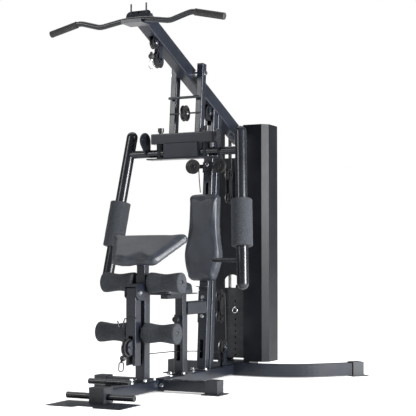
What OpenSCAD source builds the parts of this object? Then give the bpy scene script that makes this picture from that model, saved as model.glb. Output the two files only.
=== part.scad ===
// Multi station home gym: pull-down bar, swinging press arms with butterfly
// motion, leg developer, arm-curl pad and a shrouded weight stack.
// X runs across the machine, +Y to its rear and +Z up. The origin is on the
// floor, under the seat post, on the machine's middle plane. Millimetres.

/* [Main tubes] */
// Outside width of the square frame tubes
tube_w = 60; // [56:1:62]
// Wall thickness of the frame tubes
tube_wall = 2.5; // [2:0.5:4]
// Outside corner radius of the frame tubes
tube_r = 6; // [4:1:8]
// Height of the floor tubes above the floor
floor_gap = 10; // [10:1:12]

/* [Base] */
// Half length of the front stabilizer tube
stab_half = 352; // [330:1:370]
// Reach of the straight left rear leg from the middle plane
rear_left = 400; // [360:1:440]
// Angle by which the right rear leg is bent towards the rear
rear_bend = 48; // [35:1:55]
// Centre-line radius of the bend in the right rear leg
rear_bend_r = 500; // [420:10:560]

/* [Boom and press arms] */
// Slope of the boom, in degrees, up towards the front
boom_slope = 23.3; // [22:0.1:24]
// Backward lean of the swinging press frame
press_lean = 5; // [4:0.5:6]
// Backward lean of the two main uprights
upright_lean = 4.5; // [4:0.1:5]
// Half length of the press beam
beam_half = 198; // [190:1:205]
// Diameter of the press arm tubes
arm_d = 66; // [60:1:70]
// Diameter of the foam on the press arms
arm_foam_d = 120; // [110:1:126]

/* [Pads and rollers] */
// Diameter of the roller foam at its flared ends
roller_d = 110; // [100:1:114]
// Diameter of the roller foam at its waist
roller_waist_d = 94; // [86:1:98]
// Thickness of the arm-curl pad
curl_pad_t = 46; // [36:1:50]
// Thickness of the back pad
back_pad_t = 55; // [45:1:60]
// Thickness of the seat pad
seat_pad_t = 58; // [45:1:60]

/* [Pulleys and cables] */
// Outside diameter of the cable pulleys
pulley_d = 94; // [84:2:96]
// Width of the cable pulleys
pulley_t = 22; // [20:1:24]
// Diameter of the coated steel cable
cable_d = 6; // [5:0.5:6]

/* [Weight stack] */
// Number of plates that stay down when the pin is in the second plate
plates_down = 8; // [4:1:8]
// Height of one plate
plate_h = 37; // [30:1:37]
// Width of the plates
plate_w = 210; // [190:5:220]
// Distance between the guide rod centres
rod_gap = 128; // [120:2:140]
// Diameter of the chromed guide rods
rod_d = 20; // [18:1:22]
// Height of the shroud covers
shroud_h = 1490; // [1400:10:1500]

/* [Hidden] */
$fn = 48;
frame_grey = [0.20, 0.21, 0.23];
dark_grey = [0.12, 0.12, 0.13];
pad_grey = [0.27, 0.28, 0.30];
foam_grey = [0.24, 0.25, 0.26];
bright = [0.78, 0.79, 0.80];
half = tube_w / 2;
floor_top = floor_gap + tube_w;
joint_gap = 0.4;             // space between faces that move past each other
pin_gap = 0.05;              // radial clearance of a pin in its bore

// base
stab_y = -275;
stab_front = stab_y - half;
beam_front = -838;
rear_y = 685;
rear_tube_h = 76;
rear_z = 6;
rear_arm = 240;
plate_front = -1040;
bar1 = [0, -868, 36];
bar2 = [0, -783, 101];

// front post and leg developer
post_y = -440;
post_top = 640;
upper_axle_z = 601;
axle_d = 25;
lever_y = -540;
ear_top = 592;               // top of the ears that carry the lever
pivot_lid = 43;              // half the width of the lid over the ears
lever_pivot_z = 550;
lever_bottom = 165;
lower_axle = [0, -490, 334];
roller_in = 46;
roller_out = 240;
low_pulley = [0, -605, 262];
low_cable_z = 216;
lever_bolt_d = 16;

// arm-curl pad
curl_tilt = 35;
curl_y = -480;               // the carrier's plane passes through this point
curl_z = 729;
curl_low = -78;              // front end of the pad, measured up its slope
curl_high = 184;             // rear end of the pad, measured up its slope
curl_top_half = 238;
curl_low_half = 144;
stem_w = 50;

// seat
seat_top = 596;
seat_sleeve_top = 410;
seat_front = -358;
seat_rear_y = -85;
seat_half = 125;
seat_pin_z = 385;

// uprights and back pad
up_front = 272;
up_ref_z = 300;
up_depth = 50;
up_step = 63;
brace_bolts = [390, 500];    // heights of the brace's bolts
back_low = 594;
pad_gap = 4;                 // between the back pad and the upright
back_high = 1122;

// boom
boom_w = 70;
boom_h = 88;
boom_ref = [0, 37, 1831];
boom_front = -490;
bar_y = -538;                // depth at which the pull-down bar lies
shelf_z = 1995;
boom_cut = 2066;             // height of the level cut at the boom's front end
boom_rear = 800;

// press frame
pivot = [0, 98, 1812];
leg_x = 84;
leg_w = 40;
leg_d = 50;
leg_top = 1864;
beam_low = 1398;
beam_high = 1459;
arm_z = 1345;
arm_pivot = [148, 30];
arm_top = [355, 52, 1452];
arm_end = [436, -99, 592];
arm_len = norm(arm_end - arm_top);

// stack
stack_y = 800;
stack_d = 110;
stack_z = 106;
pitch = plate_h + 0.5;
lift_z = stack_z + plates_down * pitch;
top_plate_h = 64;
shroud_z = 88;
roof_z = shroud_z + shroud_h - 4;
rod_low = 72;
panel_out = 24;              // how far the middle panel stands in front of the covers
shroud_y = 724;

// ---------- helpers ----------

// corner points of a rectangle with rounded corners, centred on the origin
function rounded(w, h, r) = [for (c = [0 : 3]) for (k = [0 : 4])
    let (a = c * 90 + k * 22.5, sx = (c == 0 || c == 3) ? 1 : -1, sy = c < 2 ? 1 : -1)
    [sx * (w / 2 - r) + r * cos(a), sy * (h / 2 - r) + r * sin(a)]];

// hollow tube along +Z from z = 0, w across X and d across Y
module tube(w, d, len, wall = tube_wall, r = tube_r) {
    difference() {
        linear_extrude(len) polygon(rounded(w, d, r));
        translate([0, 0, -1]) linear_extrude(len + 2)
            polygon(rounded(w - 2 * wall, d - 2 * wall, max(r - wall, 1)));
    }
}

// hollow tube along +Y between two Y values, its centre at height z
module tube_y(y0, y1, z, w = tube_w, h = tube_w) {
    translate([0, y1, z]) rotate([90, 0, 0]) tube(w, h, y1 - y0);
}

// round bar along X, centred at p
module bar_x(p, len, d) {
    translate(p) rotate([0, 90, 0]) cylinder(h = len, d = d, center = true);
}

// plain box from its low corner and its high corner
module box(a, b) {
    translate(a) cube(b - a);
}

// hexagon bolt head with its washer, standing along +Z from the origin
module bolt_head(d = 20) {
    cylinder(h = 2, d = d + 4);
    translate([0, 0, 2]) cylinder(h = 9, d = d, $fn = 6);
}

// grooved cable pulley with a bore, spinning about X, centred on the origin
module pulley(d = pulley_d, t = pulley_t, bore = 10) {
    groove = cable_d / 2 + 1;
    rotate([0, 90, 0])
        rotate_extrude() polygon([[bore / 2 + pin_gap, -t / 2], [bore / 2 + 10, -t / 2],
            [bore / 2 + 12, -t / 2 + 5], [d / 2 - 14, -t / 2 + 5], [d / 2 - 10, -t / 2 + 1],
            [d / 2, -t / 2 + 1], [d / 2 - 8, -groove], [d / 2 - 9, 0],
            [d / 2 - 8, groove], [d / 2, t / 2 - 1], [d / 2 - 10, t / 2 - 1],
            [d / 2 - 14, t / 2 - 5], [bore / 2 + 12, t / 2 - 5],
            [bore / 2 + 10, t / 2], [bore / 2 + pin_gap, t / 2]]);
}

// axle bolt of a pulley: shank along X and a head at each end
module pulley_bolt(grip, d = 10) {
    rotate([0, 90, 0]) {
        cylinder(h = grip, d = d, center = true);
        for (s = [0, 1]) mirror([0, 0, s]) translate([0, 0, grip / 2]) bolt_head(16);
    }
}

// two cheek plates beside a pulley on X, reaching from the axle by `reach`
module cheeks(reach, w = 34, t = 4, inner = pulley_t / 2 + 1) {
    for (s = [-1, 1]) translate([s * (inner + t / 2), 0, 0]) rotate([0, 90, 0])
        linear_extrude(t, center = true) difference() {
            union() {
                circle(d = w);
                translate([-reach, -w / 2]) square([reach, w]);
            }
            circle(d = 10);
        }
}

// cord of round section swept along points, closed at both ends
module cord(pts, d = cable_d, sides = 8) {
    n = len(pts);
    dirs = [for (i = [0 : n - 1])
        let (v = pts[min(i + 1, n - 1)] - pts[max(i - 1, 0)]) v / norm(v)];
    rings = [for (i = [0 : n - 1])
        let (ref = abs(dirs[i][0]) > 0.9 ? [0, 1, 0] : [1, 0, 0],
             u = cross(dirs[i], ref) / norm(cross(dirs[i], ref)),
             v = cross(dirs[i], u))
        for (k = [0 : sides - 1])
            pts[i] + d / 2 * (cos(360 * k / sides) * u + sin(360 * k / sides) * v)];
    faces = concat(
        [[for (k = [0 : sides - 1]) k]],
        [[for (k = [sides - 1 : -1 : 0]) (n - 1) * sides + k]],
        [for (i = [0 : n - 2]) for (k = [0 : sides - 1])
            let (a = i * sides + k, b = i * sides + (k + 1) % sides)
            [a, a + sides, b + sides, b]]);
    polyhedron(points = rings, faces = faces);
}

// points of an arc in the YZ plane about c, from angle a0 to a1
function arc_yz(c, r, a0, a1, n = 6) = [for (k = [0 : n])
    let (a = a0 + (a1 - a0) * k / n) [0, c[1] + r * cos(a), c[2] + r * sin(a)]];

// ---------- base ----------

module front_beam() {
    color(frame_grey) {
        tube_y(beam_front, stab_front - 6, floor_gap + half);
        difference() {
            box([-58, stab_front - 6, floor_gap - 4], [58, stab_front, floor_top + 6]);
            for (s = [-1, 1]) translate([s * 45, stab_front + 1, floor_gap + half])
                rotate([90, 0, 0]) cylinder(h = 8, d = 12);
        }
    }
}

module rear_beam() {
    color(frame_grey) tube_y(stab_y + half, rear_y - half, floor_gap + half);
}

module front_stabilizer() {
    color(frame_grey) translate([-stab_half, stab_y, floor_gap + half])
        rotate([0, 90, 0]) tube(tube_w, tube_w, 2 * stab_half);
}

// outline of the rear leg, w wide, straight on the left and bent on the right
module rear_outline(w, trim = 0) {
    c = [170, rear_y + rear_bend_r];
    function on_arc(r, a) = [c[0] + r * sin(a), c[1] - r * cos(a)];
    out = rear_arm - trim;
    tip = out * [cos(rear_bend), sin(rear_bend)];
    polygon(concat(
        [[-rear_left + trim, rear_y - w / 2]],
        [for (k = [0 : 12]) on_arc(rear_bend_r + w / 2, rear_bend * k / 12)],
        [on_arc(rear_bend_r + w / 2, rear_bend) + tip,
         on_arc(rear_bend_r - w / 2, rear_bend) + tip],
        [for (k = [12 : -1 : 0]) on_arc(rear_bend_r - w / 2, rear_bend * k / 12)],
        [[-rear_left + trim, rear_y + w / 2]]));
}

module rear_cross_tube() {
    color(frame_grey) translate([0, 0, rear_z]) difference() {
        linear_extrude(rear_tube_h) rear_outline(tube_w);
        translate([0, 0, tube_wall]) linear_extrude(rear_tube_h - 2 * tube_wall)
            rear_outline(tube_w - 2 * tube_wall, tube_wall);
    }
}

// moulded foot cap with a floor flange; its tube enters along +X
module foot(h, tube_h, z0) {
    difference() {
        union() {
            box([-12, -39, 0], [62, 39, h]);
            box([-24, -62, 0], [84, 62, rear_z]);
        }
        box([-13, -half - 0.2, z0 - 0.2], [30, half + 0.2, z0 + tube_h + 0.2]);
    }
}

module feet() {
    end = [170, rear_y + rear_bend_r]
        + rear_bend_r * [sin(rear_bend), -cos(rear_bend)]
        + (rear_arm - 30) * [cos(rear_bend), sin(rear_bend)];
    color(dark_grey) {
        for (s = [0, 1]) mirror([s, 0, 0]) translate([stab_half - 30, stab_y, 0])
            foot(floor_top + 8, tube_w, floor_gap);
        translate([end[0], end[1], 0]) rotate(rear_bend)
            foot(rear_z + rear_tube_h + 6, rear_tube_h, rear_z);
        translate([-rear_left + 30, rear_y, 0]) rotate(180)
            foot(rear_z + rear_tube_h + 6, rear_tube_h, rear_z);
        box([-half, -half, 0], [half, half, floor_gap]);
    }
}

module frame_bolts() {
    color(bright) {
        for (s = [-1, 1]) translate([s * 45, stab_front - 6, floor_gap + half])
            rotate([90, 0, 0]) bolt_head();
        for (s = [-1, 1], y = [-488, -392]) translate([s * 42, y, floor_top + 6]) bolt_head();
        for (s = [-1, 1]) translate([s * 42, -47, floor_top + 6]) bolt_head();
        for (s = [-1, 1]) translate([s * 42, 232, floor_top + 6]) bolt_head();
        for (z = brace_bolts) on_upright(z) translate([0, -6, 0])
            rotate([90, 0, 0]) bolt_head();
        on_upright(1300) translate([0, -8, 0]) rotate([90, 0, 0]) bolt_head();
    }
}

module end_block() {
    color(dark_grey) difference() {
        box([-43, -908, 4], [43, -815, 84]);
        box([-half - 0.2, beam_front - 0.2, floor_gap - 0.2],
            [half + 0.2, -814, floor_top + 0.2]);
        bar_x(bar1, 100, 32.2);
    }
}

module foot_bars() {
    color(frame_grey) {
        bar_x(bar1, 396, 32);
        bar_x(bar2, 240, 30);
        box([-18, bar2[1] - 12, floor_top], [18, bar2[1] + 12, bar2[2]]);
    }
}

module foot_plate() {
    color(frame_grey) linear_extrude(4) difference() {
        polygon([[-215, plate_front], [-60, plate_front], [-48, plate_front + 42],
            [48, plate_front + 42], [60, plate_front], [215, plate_front],
            [215, -830], [-215, -830]]);
        for (s = [-1, 1]) translate([s * 150, -990]) circle(d = 10);
    }
}

// ---------- front post, curl pad and leg developer ----------

// bolted foot flange of a post, centred at [0, y]
module post_flange(y, d = 60) {
    difference() {
        box([-56, y - d, floor_top], [56, y + d, floor_top + 6]);
        for (s = [-1, 1], t = [-1, 1]) translate([s * 42, y + t * (d - 12), floor_top - 1])
            cylinder(h = 8, d = 12);
    }
}

module front_post() {
    color(frame_grey) {
        post_flange(post_y);
        difference() {
            translate([0, post_y, floor_top + 6])
                tube(tube_w, tube_w, post_top - floor_top - 6);
            bar_x([0, post_y, upper_axle_z], 80, axle_d + 0.4);
            box([-13, post_y - 40, 160], [13, post_y + 40, 262]);
        }
        // ears that carry the leg developer
        for (s = [0, 1]) mirror([s, 0, 0]) difference() {
            translate([half + joint_gap, 0, 0]) rotate([90, 0, 90]) linear_extrude(6)
                polygon([[post_y - 10, 500], [post_y - 10, ear_top],
                    [lever_y - 30, ear_top], [lever_y - 34, 572], [lever_y - 34, 530], [lever_y - 8, 512]]);
            bar_x([0, lever_y, lever_pivot_z], 90, lever_bolt_d + 0.4);
        }
        // lid over the ears, with a lip in front
        box([-pivot_lid, lever_y - 40, ear_top], [pivot_lid, -484, ear_top + 4]);
        box([-pivot_lid, lever_y - 43, ear_top - 12], [pivot_lid, lever_y - 40, ear_top + 4]);
    }
}

module upper_axle() {
    color(bright) bar_x([0, post_y, upper_axle_z], 2 * roller_out - 16, axle_d);
}

// pair of waisted foam rollers on X, hollow for their axle
module roller_pair() {
    r = roller_d / 2;
    waist = roller_waist_d / 2;
    len = roller_out - roller_in;
    for (s = [0, 1]) mirror([s, 0, 0]) translate([roller_in, 0, 0]) rotate([0, 90, 0])
        difference() {
            rotate_extrude() polygon(concat([[0, 0], [r - 6, 0]],
                [for (k = [0 : 12]) let (u = k / 12)
                    [waist + (r - waist) * pow(cos(180 * u), 2), 6 + (len - 12) * u]],
                [[r - 6, len], [0, len]]));
            translate([0, 0, -1]) cylinder(h = len + 2, d = axle_d + 0.2);
        }
}

module upper_rollers() {
    color(foam_grey) translate([0, post_y, upper_axle_z]) roller_pair();
}

module lower_rollers() {
    color(foam_grey) translate(lower_axle) roller_pair();
}

module curl_post() {
    color(frame_grey) {
        difference() {
            translate([0, post_y, 470]) tube(stem_w, stem_w, 254, 2.5, 4);
            // slot that lets the post slide over the roller axle
            box([-40, post_y - 14, 495], [40, post_y + 14, upper_axle_z + 18]);
        }
        // carrier under the pad, at the pad's own tilt
        on_curl() box([-70, curl_low + 20, 0], [70, curl_high - 40, 5]);
        difference() {
            box([-22, post_y - 30, 690], [22, post_y + 30, curl_z + 60]);
            on_curl() box([-80, -120, 5], [80, 160, 120]);
        }
    }
}

// frame of the curl pad: +Y up its slope, +Z square to it
module on_curl() {
    translate([0, curl_y, curl_z]) rotate([curl_tilt, 0, 0]) children();
}

// wavy front edge of the curl pad, as a height along the pad
function curl_wave(u) = 9 * cos(540 * u) * (1 - pow(2 * u - 1, 4));

module curl_pad() {
    color(pad_grey) on_curl() translate([0, 0, 5]) linear_extrude(curl_pad_t)
        polygon(concat(
            [for (k = [0 : 24]) let (u = k / 24)
                [(2 * u - 1) * curl_low_half, curl_low + curl_wave(u)]],
            [[curl_top_half, curl_high - 20], [curl_top_half - 14, curl_high],
             [-curl_top_half + 14, curl_high], [-curl_top_half, curl_high - 20]]));
}

module leg_lever() {
    front = lever_y - half;
    back = lever_y + half;
    color(frame_grey) {
        difference() {
            union() {
                translate([0, lever_y, lever_bottom])
                    tube(tube_w, tube_w, lever_pivot_z + 24 - lever_bottom);
                bar_x([0, lever_y, lever_pivot_z], tube_w, 32);
                box([-20, back - 1, 308], [20, lower_axle[1] + 14, 360]);
            }
            bar_x([0, lever_y, lever_pivot_z], tube_w + 2, lever_bolt_d + 2 * pin_gap);
            bar_x(lower_axle, 60, axle_d + 0.4);
            box([-13.5, front - 10, lever_bottom - 1], [13.5, back + 10, 322]);
        }
        // cheeks that hold the low pulley in front of the lever
        for (s = [0, 1]) mirror([s, 0, 0]) difference() {
            translate([13.5, 0, 0]) rotate([90, 0, 90]) linear_extrude(4)
                polygon([[front + 1, 222], [front + 1, 308], [low_pulley[1] - 8, 292],
                    [low_pulley[1] - 24, 276], [low_pulley[1] - 22, 246],
                    [low_pulley[1] + 4, 222]]);
            bar_x(low_pulley, 60, 10.2);
        }
        // bolt of the low pulley
        translate(low_pulley) pulley_bolt(35);
        // hook for hanging up the ankle strap
        translate([0, front - 4, 408]) cord([[30, 4, 8], [30, -4, 8], [-6, -6, 8],
            [-30, -6, 4], [-36, -6, -12], [-42, -6, -40], [-54, -6, -50], [-66, -6, -42],
            [-70, -6, -18], [-74, -6, -8]], 7, 10);
    }
}

module lower_axle() {
    color(bright) bar_x(lower_axle, 2 * roller_out - 16, axle_d);
}

module lever_bolt() {
    color(bright) translate([0, lever_y, lever_pivot_z]) {
        rotate([0, 90, 0]) cylinder(h = tube_w + 12.8, d = lever_bolt_d, center = true);
        for (s = [-1, 1]) translate([s * (half + 6.4), 0, 0]) rotate([0, s * 90, 0]) {
            cylinder(h = 2.5, d = 27);
            translate([0, 0, 2.5]) cylinder(h = 8, d = 22, $fn = 6);
        }
    }
}

module low_pulley() {
    color(dark_grey) translate(low_pulley) pulley();
}

// open-gated snap hook, 66 mm long, hanging from the origin in the XZ plane
module snap_hook(len = 66) {
    r = 12;
    loop = [for (k = [0 : 20]) let (a = 100 + 340 * k / 20)
        [r * cos(a), 0, -len / 2 + 4 + (a > 180 && a < 360 ? -(len / 2 - 16) : 12)
            + r * sin(a)]];
    cord(loop, 6, 8);
    translate([0, 0, -8]) cylinder(h = 10, d = 12);
}

module low_stopper() {
    p = [0, low_pulley[1] - 44, 210];
    color(dark_grey) {
        difference() {
            translate(p) sphere(d = 32);
            translate(p) rotate([-90, 0, 0]) cylinder(h = 30, d = cable_d + 0.2);
        }
        cord([p + [0, 2, 1], p + [0, 20, 2], [0, low_pulley[1] - 10, low_cable_z],
            [0, low_pulley[1] + 30, low_cable_z], [0, -516, low_cable_z]]);
    }
    color(bright) translate(p + [0, -14, -14]) rotate([18, 0, 40]) snap_hook();
}

// ---------- seat ----------

module seat_sleeve() {
    color(frame_grey) difference() {
        union() {
            difference() {
                box([-56, -60, floor_top], [56, 34, floor_top + 6]);
                for (s = [-1, 1]) translate([s * 42, -47, floor_top - 1])
                    cylinder(h = 8, d = 12);
            }
            translate([0, 0, floor_top + 6])
                tube(tube_w, tube_w, seat_sleeve_top - floor_top - 6);
            translate([0, -half + 1, seat_pin_z]) rotate([90, 0, 0]) cylinder(h = 13, d = 26);
        }
        box([-12, -40, 150], [12, 40, 240]);
        translate([0, -20, seat_pin_z]) rotate([90, 0, 0]) cylinder(h = 40, d = 12.4);
    }
}

module seat_stem() {
    color(frame_grey) {
        difference() {
            translate([0, 0, 300]) tube(stem_w, stem_w, 230, 2.5, 4);
            for (k = [0 : 3]) translate([0, -15, seat_pin_z - k * 25])
                rotate([90, 0, 0]) cylinder(h = 14, d = 13);
        }
        difference() {
            box([-95, -300, 530], [95, 28, 536]);
            for (s = [-1, 1], y = [-270, -60]) translate([s * 60, y, 529])
                cylinder(h = 8, d = 9);
        }
        box([-22, -200, 505], [22, -24, 530]);
    }
}

module seat_pad() {
    color(pad_grey) translate([0, 0, seat_top - seat_pad_t]) linear_extrude(seat_pad_t)
        polygon(concat(
            [for (k = [0 : 12]) let (a = 180 * k / 12)
                [112 * cos(a), seat_rear_y + 112 * sin(a)]],
            [[-seat_half, seat_front + 60], [-seat_half + 6, seat_front + 22],
             [-seat_half + 24, seat_front], [seat_half - 24, seat_front],
             [seat_half - 6, seat_front + 22], [seat_half, seat_front + 60]]));
}

module seat_pin() {
    color(dark_grey) translate([0, -stem_w / 2 - joint_gap, seat_pin_z]) rotate([90, 0, 0]) {
        cylinder(h = 30, d = 12);
        translate([0, 0, 20]) cylinder(h = 8, d = 20);
        translate([0, 0, 28]) cylinder(h = 20, d = 34);
    }
}

module brace_beam() {
    color(frame_grey) {
        difference() {
            tube_y(half, 274, 445, tube_w, 75);
            // sloped end against the leaning upright
            translate([0, upright_y(445), 445]) rotate([-upright_lean, 0, 0])
                box([-40, -6, -60], [40, 40, 60]);
        }
        difference() {
            translate([0, upright_y(445), 445]) rotate([-upright_lean, 0, 0])
                box([-half, -6, -95], [half, 0, 95]);
            for (z = brace_bolts) on_upright(z) translate([0, 5, 0])
                rotate([90, 0, 0]) cylinder(h = 20, d = 12);
        }
    }
}

// ---------- uprights and back pad ----------

// Y of the front face of the leaning front upright at height z
function upright_y(z) = up_front + (z - up_ref_z) * tan(upright_lean);

// leaning post from the rear beam up into the boom, `step` behind the front face
module leaning_post(step, depth) {
    difference() {
        translate([0, upright_y(floor_top) + step, floor_top]) rotate([-upright_lean, 0, 0])
            translate([0, depth / 2, -10]) tube(tube_w, depth, 1700);
        box([-60, 100, 0], [60, 700, floor_top + 6]);
        // flush with the boom's underside
        translate([0, boom_ref[1], boom_ref[2]]) rotate([-boom_slope, 0, 0])
            box([-60, -600, -boom_h / 2], [60, 900, 400]);
    }
}

module front_upright() {
    color(frame_grey) {
        difference() {
            leaning_post(0, up_depth);
            // slots for the arm cable above and the low cable below
            translate([0, upright_y(1140), 1140]) rotate([-upright_lean, 0, 0])
                box([-9, -10, -40], [9, 60, 50]);
            box([-11, 230, 142], [11, 330, 250]);
            // and for the top pulley
            box([-14, 330, 1540], [14, 440, 1664]);
        }
        difference() {
            box([-56, upright_y(floor_top) - 32, floor_top], [56, upright_y(floor_top) + 118,
                floor_top + 6]);
            for (s = [-1, 1]) translate([s * 42, 232, floor_top - 1]) cylinder(h = 8, d = 12);
        }
    }
}

module rear_upright() {
    color(frame_grey) difference() {
        leaning_post(up_step, up_depth);
        box([-11, 300, 142], [11, 400, 250]);
        box([-12, 410, 1440], [12, 510, 1592]);
    }
}

// frame on the front upright's face at height z: +Z up its slope, -Y to the front
module on_upright(z) {
    translate([0, upright_y(z), z]) rotate([-upright_lean, 0, 0]) children();
}

module back_bracket() {
    color(frame_grey) {
        for (z = [700, 1000]) on_upright(z)
            box([-half + 4, -pad_gap, -25], [half - 4, 0, 25]);
        on_upright(back_low - 34) {
            box([-half, -44, 0], [half, 0, 4]);
            box([-half, -4, -16], [half, 0, 0]);
        }
    }
}

module back_pad() {
    low = back_low;
    h = back_high - back_low;
    // half width of the pad at a share u of its height
    function half_w(u) = 96 + 24 * exp(-pow((u - 0.34) / 0.2, 2)) + 12 * u
        - 22 * pow(max(0, (0.16 - u) / 0.16), 2) - 34 * pow(max(0, (u - 0.9) / 0.1), 3);
    edge = [for (k = [0 : 24]) let (u = k / 24) [half_w(u), h * u]];
    color(pad_grey) on_upright(low) translate([0, -pad_gap, 0])
        rotate([90, 0, 0]) linear_extrude(back_pad_t)
            polygon(concat(edge, [for (k = [24 : -1 : 0]) [-edge[k][0], edge[k][1]]]));
}

// ---------- boom ----------

// boom frame: +Y along the boom towards the rear, +Z square to it
module on_boom() {
    translate(boom_ref) rotate([-boom_slope, 0, 0]) children();
}

// distance along the boom of the foot of the square from a point p
function boom_share(p) = (p[1] - boom_ref[1]) * cos(boom_slope)
    + (boom_ref[2] - p[2]) * sin(boom_slope);

// distance along the boom of its axis at machine depth y
function along(y) = (y - boom_ref[1]) / cos(boom_slope);

module boom() {
    color(frame_grey) difference() {
        on_boom() translate([0, along(boom_rear), 0]) rotate([90, 0, 0])
            tube(boom_w, boom_h, along(boom_rear) - along(boom_front), 3, 8);
        bar_x(pivot, 100, 18.2);
        // openings in the underside for the pulleys that reach into the boom
        on_boom() for (p = [front_c, top_c]) let (a = boom_share(p))
            box([-15, a - 47, -boom_h / 2 - 5], [15, a + 47, -boom_h / 2 + 10]);
        // level cut at the front end, under the pull-down bar's rack
        box([-60, -600, boom_cut], [60, -300, boom_cut + 200]);
    }
}

module bar_rack() {
    color(frame_grey) {
        on_boom() translate([0, along(boom_front), 0]) rotate([90, 0, 0]) linear_extrude(5)
            difference() {
                translate([0, -18]) polygon(rounded(148, 60, 22));
                circle(d = 12);
            }
        // cap on the boom's level cut
        box([-boom_w / 2, -486, boom_cut], [boom_w / 2, -396, boom_cut + 3]);
        // shelf that the bar lies on, its lip and the two pegs behind the bar
        box([-62, bar_y - 38, shelf_z - 5], [62, -470, shelf_z]);
        box([-62, bar_y - 38, shelf_z], [62, bar_y - 33, shelf_z + 14]);
        for (s = [-1, 1]) translate([s * 47, -494, shelf_z - 2]) cylinder(h = 117, d = 9);
    }
}

module pulley_brackets() {
    color(frame_grey) {
        for (p = [front_c, drop_c, top_c]) difference() {
            translate(p) cheeks(92);
            on_boom() box([-60, -900, -boom_h / 2], [60, 900, 300]);
        }
        translate(low_rear_c) rotate([180, 0, 0]) cheeks(low_rear_c[2] - floor_top);
        // anchor of the high cable's fixed end
        difference() {
            box([-12, anchor_y - 12, 1484], [12, anchor_y + 12, 1560]);
            on_boom() box([-60, -900, -boom_h / 2], [60, 900, 300]);
        }
        // arms that hold the side pulleys in front of the upright
        difference() {
            on_upright(1283) box([-half, -8, -32], [half, 0, 32]);
            on_upright(1300) translate([0, 2, 0]) rotate([90, 0, 0])
                cylinder(h = 20, d = 12);
        }
        for (s = [-1, 1]) difference() {
            box([min(s * 28, s * 88), 336, 1276], [max(s * 28, s * 88), 343, 1300]);
            translate([s * side_c[0], 300, side_c[2]]) rotate([-90, 0, 0])
                cylinder(h = 60, d = 10);
        }
    }
    color(bright) {
        for (p = [front_c, drop_c, top_c, low_rear_c]) translate(p) pulley_bolt(32);
        for (s = [-1, 1]) translate([s * side_c[0], side_c[1], side_c[2]])
            rotate([90, 0, 0]) translate([0, 0, -24]) {
                cylinder(h = 37, d = 10);
                translate([0, 0, 37]) bolt_head(16);
            }
    }
}

// pulley centres
front_c = [0, -322, 1925];
drop_c = [0, -273, 1838];
top_c = [0, 352, 1612];
low_rear_c = [0, 563, 190];
hang_y = front_c[1] - 30;    // where the high cable hangs down in front
anchor_y = 685;
side_c = [88, 322, 1288];
press_c = [0, 50, 1576];

module front_pulley() { color(dark_grey) translate(front_c) pulley(70); }
module drop_pulley() { color(dark_grey) translate(drop_c) pulley(); }
module top_pulley() { color(dark_grey) translate(top_c) pulley(); }
module rear_low_pulley() { color(dark_grey) translate(low_rear_c) pulley(); }
module press_pulley() { color(dark_grey) translate(press_c) pulley(); }

module side_pulley(s) {
    color(dark_grey) translate([s * side_c[0], side_c[1], side_c[2]])
        rotate([0, 0, 90]) pulley(88);
}
module side_pulley_left() { side_pulley(-1); }
module side_pulley_right() { side_pulley(1); }

// ---------- press frame ----------

// frame of the swinging legs: origin on the pivot, +Z up along the legs
module on_legs() {
    translate(pivot) rotate([-press_lean, 0, 0]) children();
}

module press_frame() {
    rise = leg_top - pivot[2];
    drop = pivot[2] - beam_high;
    color(frame_grey) {
        for (s = [-1, 1]) difference() {
            on_legs() translate([s * leg_x, 0, -drop - 20]) tube(leg_w, leg_d, drop + 20 + rise);
            bar_x(pivot, 300, 18 + 2 * pin_gap);
            box([-200, -200, 1300], [200, 300, beam_high]);
            bar_x([0, 37, 1667], 300, 16);
            bar_x(press_c, 300, 10.2);
        }
        for (s = [-1, 1]) difference() {
            on_legs() translate([s * leg_x, 0, rise]) linear_extrude(3)
                polygon(rounded(leg_w, leg_d, tube_r));
        }
    }
    color(bright) {
        bar_x([0, 37, 1667], 2 * leg_x + 30, 15.8);
        bar_x(press_c, 2 * leg_x + 30, 10);
    }
}

module press_axle() {
    color(bright) {
        bar_x(pivot, 2 * leg_x + leg_w + 4, 18);
        for (s = [-1, 1]) translate([s * (leg_x + leg_w / 2 + 2), pivot[1], pivot[2]])
            rotate([0, s * 90, 0]) bolt_head(24);
    }
    color(dark_grey) for (s = [-1, 1])
        bar_x([s * (boom_w / 2 + leg_x - leg_w / 2) / 2, pivot[1], pivot[2]],
            leg_x - leg_w / 2 - boom_w / 2 - 1, 34);
}

module press_beam() {
    color(frame_grey) {
        difference() {
            translate([-beam_half, half, (beam_low + beam_high) / 2]) rotate([0, 90, 0])
                tube(beam_high - beam_low, tube_w, 2 * beam_half);
            for (s = [-1, 1]) translate([s * arm_pivot[0], arm_pivot[1], beam_low - 10])
                cylinder(h = 90, d = 16);
        }
        for (s = [-1, 1]) translate([s * (beam_half - 4), half, (beam_low + beam_high) / 2])
            rotate([0, s * 90, 0]) linear_extrude(4)
                polygon(rounded(beam_high - beam_low, tube_w, tube_r));
        // centre box under the beam, between the arm sleeves
        difference() {
            box([-110, -11, 1316], [110, 52, beam_low]);
            box([-107, -8, 1319], [107, 49, beam_low + 1]);
        }
        // lower plate of the arm pivots
        difference() {
            box([-228, -2, 1307], [228, 62, 1315]);
            for (s = [-1, 1]) translate([s * arm_pivot[0], arm_pivot[1], 1300])
                cylinder(h = 20, d = 16);
        }
    }
}

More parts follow.
